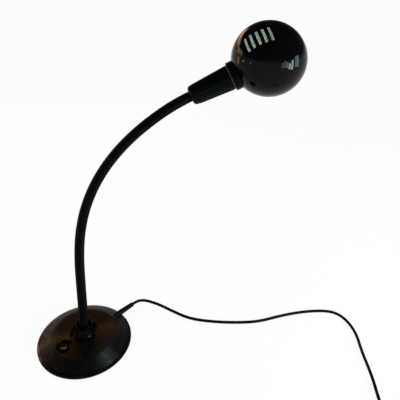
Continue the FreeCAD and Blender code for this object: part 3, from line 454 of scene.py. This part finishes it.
# Base cover: rings over the flat top and the round shoulder, a dish for the neck and a hollow for the switch
BASE_RADIUS = 75.0
BASE_TOP = 17.8
EDGE_HEIGHT = 3.2
FLAT_RADIUS = 46.0
SHOULDER = 18.0
DISH = 21.4
LIP = 0.8
DISH_FLOOR = 14.0
DISH_CORNER = 2.6
BORE = 5.05
RING_PITCH = 3.2
RING_DEPTH = 0.6
RING_COUNT = 16
RING_START = 0.6
SWITCH_TURN = math.radians(-138.0)
SWITCH = Vector((math.cos(SWITCH_TURN), math.sin(SWITCH_TURN), 0)) * 38.7
BOWL_FLOOR = 13.2
BOWL_RADIUS = 13.25
WELL_RADIUS = 6.2
BOSS_RADIUS = 15.45
BOSS_LOW = 10.8
CORD_TURN = math.radians(41.0)
RELIEF_RADIUS = 4.9
COVER_SHARP = 40.0  # degrees between faces that show as an edge


def shoulder():
    """Centre of the shoulder's arc, and the angle at which it runs out into a straight slope to the edge."""
    centre = (FLAT_RADIUS, BASE_TOP - SHOULDER)
    across, below = BASE_RADIUS - centre[0], EDGE_HEIGHT - centre[1]
    slope = math.atan2(across, below) - math.acos(SHOULDER / math.hypot(across, below))
    return centre, slope


def on_cover(distance, sink):
    """Radius and height on the cover's top, a distance out from the dish's lip and sunk below the surface."""
    centre, slope = shoulder()
    flat = FLAT_RADIUS - DISH - LIP
    bend = SHOULDER * slope
    if distance <= flat:
        return DISH + LIP + distance, BASE_TOP - sink
    angle = min((distance - flat) / SHOULDER, slope)
    reach = SHOULDER - sink
    past = max(0.0, distance - flat - bend)
    return (centre[0] + reach * math.sin(angle) + past * math.cos(angle),
            centre[1] + reach * math.cos(angle) - past * math.sin(angle))


def cover_profile():
    corner = arc((DISH - DISH_CORNER, DISH_FLOOR + DISH_CORNER), DISH_CORNER, -90, 0, 8)
    lip = arc((DISH + LIP, BASE_TOP - LIP), LIP, 180, 90, 6)
    points = [(BORE, DISH_FLOOR)] + corner + lip
    points.append(on_cover(RING_START, 0.0))
    steps = 10
    for ring in range(RING_COUNT):
        for step in range(steps if ring < RING_COUNT - 1 else steps + 1):
            share = step / steps
            rise = 1.0 - (2 * share - 1) ** 2
            points.append(on_cover(RING_START + (ring + share) * RING_PITCH, RING_DEPTH * (1 - rise)))
    end = RING_START + RING_COUNT * RING_PITCH
    for extra in (0.05, 1.2, 2.4, 3.4):
        points.append(on_cover(end + extra, 0.0))
    points += [(74.9, 3.35), (BASE_RADIUS, 3.1), (BASE_RADIUS, 1.5), (74.8, 1.0), (74.4, 0.8), (72.2, 0.8),
               (72.2, 2.8), (64.5, 3.2), (44.0, 15.4), (24.6, 15.4), (24.6, 11.6), (BORE, 11.6)]
    return points


def rod(name, radius, low, high, place, count):
    """A solid rod on local Z."""
    return turned(name, [(0.0, low), (radius, low), (radius, high), (0.0, high)], place, count)


def base_cover():
    mesh = turned("base_cover_skin", cover_profile(), count=256, angle=COVER_SHARP)
    mesh.materials.append(MATERIALS["satin_black"])
    to_switch = Matrix.Translation(SWITCH * MM)
    bowl = [(0.0, BOWL_FLOOR), (7.8, BOWL_FLOOR)] + arc((7.4, 18.9), 5.9, -84, -10, 8)
    bowl += [(BOWL_RADIUS, 18.2), (BOWL_RADIUS, 20.0), (0.0, 20.0)]
    outward = Vector((math.cos(CORD_TURN), math.sin(CORD_TURN), 0)).to_track_quat("Z", "Y")
    aim = Matrix.Translation((0, 0, CORD_EXIT.z * MM)) @ outward.to_matrix().to_4x4()
    cutters = [turned("bowl", bowl, to_switch, 96),
               rod("well", WELL_RADIUS, 9.0, BOWL_FLOOR + 0.4, to_switch, 64),
               rod("relief", RELIEF_RADIUS, 50.0, 120.0, aim, 64)]
    mesh = cut(mesh, cutters, joined=[rod("boss", BOSS_RADIUS, BOSS_LOW, 16.0, to_switch, 96)])
    smooth(mesh, COVER_SHARP)
    # Painted shade: the switch bowl and its well take the darker, duller black, so the recess reads as shaded
    mesh.materials.append(MATERIALS["bowl_painted_shade"])
    for face in mesh.polygons:
        reach = (face.center / MM - SWITCH).to_2d().length
        if reach < 13.0 and face.center.z < (BASE_TOP - 0.7) * MM or reach < 7.0:
            face.material_index = 1
    piece = new_piece("base_cover_skin", mesh, None, "base")
    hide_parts("base_cover")


base_cover()


# Neck: wound tube, one piece across each pivot
WIND_PITCH = 1.45
WIND_RISE = 0.34
TUBE_RADIUS = 7.05
TIP_LENGTH = 6.0


def neck_mesh(name, start, end):
    """The wound tube between two distances along the neck."""
    per_pitch = 6
    around = 40
    rows = int(round((end - start) / WIND_PITCH * per_pitch))
    bm = bmesh.new()
    rings = []
    for row in range(rows + 1):
        distance = start + (end - start) * row / rows
        x, z, lean = neck_at(distance)
        lean = math.radians(lean)
        side = Vector((math.cos(lean), 0, -math.sin(lean)))
        ring = []
        for spot in range(around):
            turn = 2 * math.pi * spot / around
            phase = (distance / WIND_PITCH - spot / around) % 1.0
            radius = TUBE_RADIUS + WIND_RISE * (1.0 - abs(2 * phase - 1.0) ** 3)
            place = Vector((x, 0, z)) + (side * math.cos(turn) + Vector((0, 1, 0)) * math.sin(turn)) * radius
            ring.append(bm.verts.new(place * MM))
        rings.append(ring)
    join_rings(bm, rings)
    mesh = made_mesh(bm, name)
    for face in mesh.polygons:
        face.use_smooth = True
    return mesh


def neck_skins():
    links = len(NECK_TURNS)
    cuts = [0.0] + [FOOT_LINK + LINK * (index + 0.5) for index in range(links - 1)]
    cuts.append(FOOT_LINK + links * LINK + TIP_LENGTH)
    for index in range(links):
        start, end = cuts[index], cuts[index + 1]
        name = "neck_skin_%d" % (index + 1)
        piece = new_piece(name, neck_mesh(name, start, end), MATERIALS["neck_black"], None)
        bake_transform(piece)
        if index == 0:
            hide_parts("neck_foot", "neck_link_1")
        elif index == links - 1:
            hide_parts("neck_tip")
        else:
            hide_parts("neck_link_%d" % (index + 1))


neck_skins()


# Shade: glossy ball with a white inside, five slots and a beaded opening
BALL = 51.3
WALL = 1.0
BALL_AT = 116.9
SLOT_ROLL = math.radians(35.9)
SLOT_TILT = math.radians(-6.1)
SLOT_HALF_WIDE = 1.85
SLOT_HALF_LONG = 11.35
SLOT_CORNER = 0.6
SLOT_LEANS = [-7.7 + (index - 2) * 9.5 for index in range(5)]
OPENING_ROLL = math.radians(37.6)
OPENING_RADIUS = 37.0
BEAD = 0.9
BEAD_REACH = 1.5
SPIGOT_HOLE = 16.7
OUTWARD = 0.9  # a face turned this much out or in belongs to the ball's own surfaces
SIDEWAYS = 0.5  # and one turned less than this to a slot's walls


def slot_bar(lean):
    """A bar with rounded long edges, pointing out of the ball at one slot."""
    outline = []
    for sign_y, sign_z, first in ((1, 1, 0), (-1, 1, 90), (-1, -1, 180), (1, -1, 270)):
        for step in range(4):
            turn = math.radians(first + 30 * step)
            outline.append((sign_y * (SLOT_HALF_LONG - SLOT_CORNER) + SLOT_CORNER * math.cos(turn),
                            sign_z * (SLOT_HALF_WIDE - SLOT_CORNER) + SLOT_CORNER * math.sin(turn)))
    bm = bmesh.new()
    near = [bm.verts.new((20 * MM, y * MM, z * MM)) for y, z in outline]
    far = [bm.verts.new((80 * MM, y * MM, z * MM)) for y, z in outline]
    join_rings(bm, [near, far])
    bm.faces.new(near)
    bm.faces.new(list(reversed(far)))
    return made_mesh(bm, "slot_bar", HEAD @ Matrix.Translation((0, 0, BALL_AT * MM))
                     @ Matrix.Rotation(SLOT_ROLL, 4, "Z") @ Matrix.Rotation(SLOT_TILT, 4, "X")
                     @ Matrix.Rotation(math.radians(-lean), 4, "Y"))


def meridian(radius, pole):
    """Points on a ball from its top down to an angle in degrees."""
    steps = 96
    turns = [math.radians(pole * index / steps) for index in range(1, steps + 1)]
    return [(0.0, radius)] + [(radius * math.sin(turn), radius * math.cos(turn)) for turn in turns]


def shade_ball():
    middle = BALL - WALL / 2
    opening = math.asin(OPENING_RADIUS / BALL)
    pole = 180.0 - math.degrees(opening)
    out = meridian(BALL, pole)
    facing = math.degrees(opening) - 90.0
    bead_centre = (middle * math.sin(opening), -middle * math.cos(opening))
    bead = arc(bead_centre, BEAD, facing + 62.0, facing - 242.0, 16)
    back = meridian(BALL - WALL, pole)[::-1]
    slot_way = HEAD.to_3x3() @ Vector((math.cos(OPENING_ROLL), math.sin(OPENING_ROLL), 0))
    centre = HEAD @ Vector((0, 0, BALL_AT * MM))
    place = Matrix.Translation(centre) @ slot_way.to_track_quat("Z", "Y").to_matrix().to_4x4()
    mesh = turned("shade_ball", out[:-1] + bead + back[1:], place, 256)
    cutters = [slot_bar(lean) for lean in SLOT_LEANS]
    cutters.append(rod("spigot", SPIGOT_HOLE, 20.0, 100.0, HEAD, 96))
    mesh = cut(mesh, cutters)
    mesh.materials.clear()
    for name in ("gloss_black", "shade_white", "cut_edge"):
        mesh.materials.append(MATERIALS[name])
    opening_way = -slot_way
    normals = []
    for face in mesh.polygons:
        face.use_smooth = True
        out = face.center - centre
        facing = face.normal.dot(out.normalized())
        on_bead = out.dot(opening_way) > (middle * math.cos(opening) - BEAD_REACH) * MM
        if facing < -OUTWARD:
            face.material_index = 1
        elif abs(facing) < SIDEWAYS and not on_bead:
            face.material_index = 2
        for corner in face.loop_indices:
            arm = mesh.vertices[mesh.loops[corner].vertex_index].co - centre
            if on_bead or abs(facing) < OUTWARD:
                normals.append(face.normal.copy())
            else:
                normals.append(arm.normalized() * (1.0 if facing > 0 else -1.0))
    mesh.normals_split_custom_set(normals)
    piece = new_piece("shade_ball", mesh, None, "shade")
    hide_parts("shade_shell")


shade_ball()


# Handle: the socket cover with its narrow ribs
COVER_LENGTH = 59.5
COVER_ROUND = 5.0
COVER_LOW, COVER_HIGH = 13.9, 17.3
RIB_COUNT = 8
RIB_RISE = 0.9
RIB_ROLL = 8.0
RIB_TURNS = (-22.5, -18.0, -13.5, -9.0, -6.0, -4.2, -3.4, -3.0, -2.6, -1.3, 0.0, 1.3, 2.6, 3.0, 3.4, 4.2,
             6.0, 9.0, 13.5, 18.0)  # degrees from a rib's middle


def cover_radius(along):
    share = (along - COVER_ROUND) / (COVER_LENGTH - COVER_ROUND)
    return COVER_LOW + (COVER_HIGH - COVER_LOW) * share


def share_of(value, start, length):
    """How far a value lies between a start and a length past it, from 0 to 1."""
    return min(max((value - start) / length, 0.0), 1.0)


def rib_rise(radius, along, offset):
    """Height of a rib above the cover, at an angle from the rib's middle."""
    if radius <= 12.5 or along <= COVER_ROUND:
        return 0.0
    across = 1.0 - share_of(offset, 2.5, 1.1)
    start, end = share_of(along, 6.8, 1.4), 1.0 - share_of(along, 57.9, 0.5)
    return RIB_RISE * across * across * (3 - 2 * across) * start * end


def socket_cover():
    outer = [(7.7, 0.0), (8.9, 0.0)] + arc((8.9, COVER_ROUND), COVER_ROUND, -90, 0, 10)[1:]
    stations = [6.0, 6.8, 7.3, 7.8, 8.3, 10.0, 16.0, 24.0, 32.0, 40.0, 48.0, 56.0, 57.6, 58.1, 58.3, 58.7,
                59.2]
    outer += [(cover_radius(along), along) for along in stations]
    outer += [(17.22, 59.42), (17.0, COVER_LENGTH), (15.5, COVER_LENGTH), (12.1, 5.0), (8.9, 1.8), (7.7, 1.8)]
    turns = []
    for rib in range(RIB_COUNT):
        for offset in RIB_TURNS:
            turns.append((RIB_ROLL + 360.0 / RIB_COUNT * rib + offset, abs(offset)))
    bm = bmesh.new()
    rings = []
    for radius, along in outer:
        ring = []
        for turn, offset in turns:
            angle = math.radians(turn)
            reach = (radius + rib_rise(radius, along, offset)) * MM
            ring.append(bm.verts.new((reach * math.cos(angle), reach * math.sin(angle), along * MM)))
        rings.append(ring)
    join_rings(bm, rings + rings[:1])
    mesh = made_mesh(bm, "socket_cover_skin", HEAD)
    smooth(mesh, 50.0)
    piece = new_piece("socket_cover_skin", mesh, MATERIALS["matt_black_plastic"], "head")
    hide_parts("socket_cover")


SLEEVE = 14.05
COLLAR_BACK = 60.7
COLLAR_RADIUS = 20.2
COLLAR_EDGE = 0.8
SPIGOT = 16.5
SEAT_GAP = 0.05


def swivel_parts():
    washer = [(SLEEVE, 59.5), (17.35, 59.5), (17.55, 59.7), (17.55, 60.2), (17.35, 60.4), (SLEEVE, 60.4)]
    piece = new_piece("swivel_washer_skin", turned("swivel_washer_skin", washer, HEAD),
                      MATERIALS["pale_nylon"], "head")
    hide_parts("swivel_washer")
    seat = []
    for index in range(9):
        radius = COLLAR_RADIUS - (COLLAR_RADIUS - SPIGOT) * index / 8
        seat.append((radius, BALL_AT - math.sqrt((BALL + SEAT_GAP) ** 2 - radius ** 2)))
    corner = COLLAR_RADIUS - COLLAR_EDGE
    collar = [(SLEEVE, COLLAR_BACK), (corner, COLLAR_BACK)]
    collar += arc((corner, COLLAR_BACK + COLLAR_EDGE), COLLAR_EDGE, -90, 0, 5)[1:] + [(COLLAR_RADIUS, 69.2)]
    collar += seat + [(SPIGOT, 73.7), (SLEEVE, 73.7)]
    piece = new_piece("shade_collar_skin", turned("shade_collar_skin", collar, HEAD),
                      MATERIALS["matt_black_plastic"], "shade")
    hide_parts("shade_collar")


def ferrule():
    profile = [(BORE, DISH_FLOOR), (15.6, DISH_FLOOR), (16.2, 14.6), (16.2, 19.2)]
    for index in range(17):
        share = index / 16
        first, between, last = (1 - share) ** 2, 2 * share * (1 - share), share ** 2
        profile.append((first * 16.2 + between * 14.2 + last * 11.7,
                        first * 19.6 + between * 22.6 + last * 31.0))
    profile += [(11.7, 32.2), (12.0, 32.8), (13.0, 34.2), (13.25, 34.9)]
    profile += arc((12.025, 35.775), 1.225, 0, 180, 12)
    profile += [(10.8, 32.3), (9.6, 31.0), (7.5, 31.0), (7.5, NECK_LOW), (BORE, NECK_LOW)]
    piece = new_piece("neck_ferrule_skin", turned("neck_ferrule_skin", profile, count=160),
                      MATERIALS["bell_black"], "base")
    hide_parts("neck_ferrule")


def push_button():
    face, edge = 4.6, 1.3
    profile = [(0.0, 9.3), (7.4, 9.3), (7.4, 10.5), (face + edge, 10.5)] + arc((face, 15.3), edge, 0, 90, 8)
    for index in range(1, 7):
        radius = face * (1 - index / 6)
        profile.append((radius, 16.1 + 0.5 * (radius / face) ** 2))
    mesh = turned("switch_button_skin", profile, Matrix.Translation(SWITCH * MM), 96)
    piece = new_piece("switch_button_skin", mesh, MATERIALS["button_black"], "button")
    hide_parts("switch_button")


socket_cover()
swivel_parts()
ferrule()
push_button()


# Studio: pale floor and soft light
WHITE = (1.0, 1.0, 1.0)
FLOOR_GLOW = 0.925
SKY_LIGHT = 0.62


def glow(tree, kind, colour, strength=1.0):
    """An emission or background shader of one colour."""
    node = tree.nodes.new(kind)
    node.inputs["Color"].default_value = (*colour, 1.0)
    node.inputs["Strength"].default_value = strength
    return node.outputs[0]


def mixed(tree, share, first, second):
    """The first shader, with a share of the second in its place."""
    node = tree.nodes.new("ShaderNodeMixShader")
    tree.links.new(share, node.inputs["Fac"])
    tree.links.new(first, node.inputs[1])
    tree.links.new(second, node.inputs[2])
    return node.outputs["Shader"]


def math_node(tree, operation, value):
    """A math node that takes a value; its other input is left free."""
    node = tree.nodes.new("ShaderNodeMath")
    node.operation = operation
    tree.links.new(value, node.inputs[0])
    return node


def seen_directly(tree, share):
    """A share for rays from the camera, or from a mirror or glass, and none for others."""
    path = tree.nodes.new("ShaderNodeLightPath")
    total = path.outputs["Is Camera Ray"]
    for kind in ("Is Glossy Ray", "Is Transmission Ray"):
        node = math_node(tree, "MAXIMUM", total)
        tree.links.new(path.outputs[kind], node.inputs[1])
        total = node.outputs[0]
    node = math_node(tree, "MULTIPLY", total)
    node.inputs[1].default_value = share
    return node.outputs[0]


def make_floor():
    bm = bmesh.new()
    bmesh.ops.create_grid(bm, x_segments=1, y_segments=1, size=30.0)
    mesh = bpy.data.meshes.new("floor")
    bm.to_mesh(mesh)
    bm.free()
    floor = add_object("floor", mesh)
    floor.location.z = -0.0002
    material = bpy.data.materials.new("floor_white")
    material.use_nodes = True
    tree = material.node_tree
    tree.nodes.clear()
    output = tree.nodes.new("ShaderNodeOutputMaterial")
    matt = tree.nodes.new("ShaderNodeBsdfDiffuse")
    matt.inputs["Color"].default_value = (0.94, 0.94, 0.94, 1.0)
    white = glow(tree, "ShaderNodeEmission", WHITE)
    tree.links.new(mixed(tree, seen_directly(tree, FLOOR_GLOW), matt.outputs["BSDF"], white),
                   output.inputs["Surface"])
    mesh.materials.append(material)


def make_world():
    world = bpy.data.worlds.new("studio")
    bpy.context.scene.world = world
    world.use_nodes = True
    tree = world.node_tree
    tree.nodes.clear()
    output = tree.nodes.new("ShaderNodeOutputWorld")
    soft = glow(tree, "ShaderNodeBackground", (0.97, 0.98, 1.0), SKY_LIGHT)
    place = tree.nodes.new("ShaderNodeTexCoord")
    parts = tree.nodes.new("ShaderNodeSeparateXYZ")
    tree.links.new(place.outputs["Generated"], parts.inputs["Vector"])
    sky = ramp(tree, parts.outputs["Z"], [(0.0, WHITE), (0.05, (0.50, 0.50, 0.50)),
                                          (0.16, (0.10, 0.10, 0.11)), (0.5, (0.03, 0.032, 0.036))])
    gloss = tree.nodes.new("ShaderNodeBackground")
    tree.links.new(sky, gloss.inputs["Color"])
    lit = mixed(tree, seen_directly(tree, 1.0), soft, gloss.outputs["Background"])
    path = tree.nodes.new("ShaderNodeLightPath")
    final = mixed(tree, path.outputs["Is Camera Ray"], lit, glow(tree, "ShaderNodeBackground", WHITE))
    tree.links.new(final, output.inputs["Surface"])


def lamp(name, place, target, size, power, colour):
    data = bpy.data.lights.new(name, "AREA")
    data.shape = "RECTANGLE"
    data.size, data.size_y = size
    data.energy = power
    data.color = colour
    light = add_object(name, data)
    light.location = place
    light.rotation_mode = "QUATERNION"
    light.rotation_quaternion = (Vector(target) - Vector(place)).to_track_quat("-Z", "Y")


FOOT, LOW_NECK, RIM, HEAD_BALL = (0.0, 0.0, 0.02), (0.0, 0.0, 0.10), (0.0, 0.0, 0.05), (0.27, 0.0, 0.47)
# Each lamp: name, place, what it faces, width and height, watts, colour
LAMPS = (
    ("warm_back", (-0.36, 1.06, 0.78), FOOT, (0.90, 0.24), 3.6, (1.0, 0.46, 0.15)),
    ("warm_side", (-0.98, 0.60, 0.66), FOOT, (0.70, 0.24), 3.6, (1.0, 0.46, 0.15)),
    ("warm_low", (-1.02, 0.60, 0.26), LOW_NECK, (0.16, 0.36), 1.7, (1.0, 0.46, 0.14)),
    ("cool_right", (1.22, -0.30, 0.46), RIM, (0.26, 0.42), 4.5, (0.42, 0.74, 1.0)),
    ("pane_1", (0.80, -1.08, 0.37), HEAD_BALL, (0.12, 0.30), 1.05, (0.50, 0.66, 1.0)),
    ("pane_2", (0.93, -1.02, 0.43), HEAD_BALL, (0.10, 0.38), 1.65, (0.58, 0.74, 1.0)),
    ("pane_3", (1.06, -0.94, 0.38), HEAD_BALL, (0.12, 0.34), 1.95, (0.66, 0.84, 1.0)),
    ("pane_4", (1.17, -0.82, 0.30), HEAD_BALL, (0.12, 0.30), 4.8, (0.82, 0.96, 1.0)),
    ("pane_5", (1.26, -0.66, 0.36), HEAD_BALL, (0.15, 0.46), 7.5, (0.72, 1.0, 0.80)),
    ("small_left", (-0.80, 0.05, 0.36), HEAD_BALL, (0.06, 0.06), 0.33, (0.85, 0.93, 1.0)),
    ("small_right", (-0.70, -0.40, 0.36), HEAD_BALL, (0.05, 0.05), 0.18, (0.85, 0.93, 1.0)),
)
make_floor()
make_world()
for row in LAMPS:
    lamp(*row)

bpy.context.scene.view_settings.view_transform = "Standard"
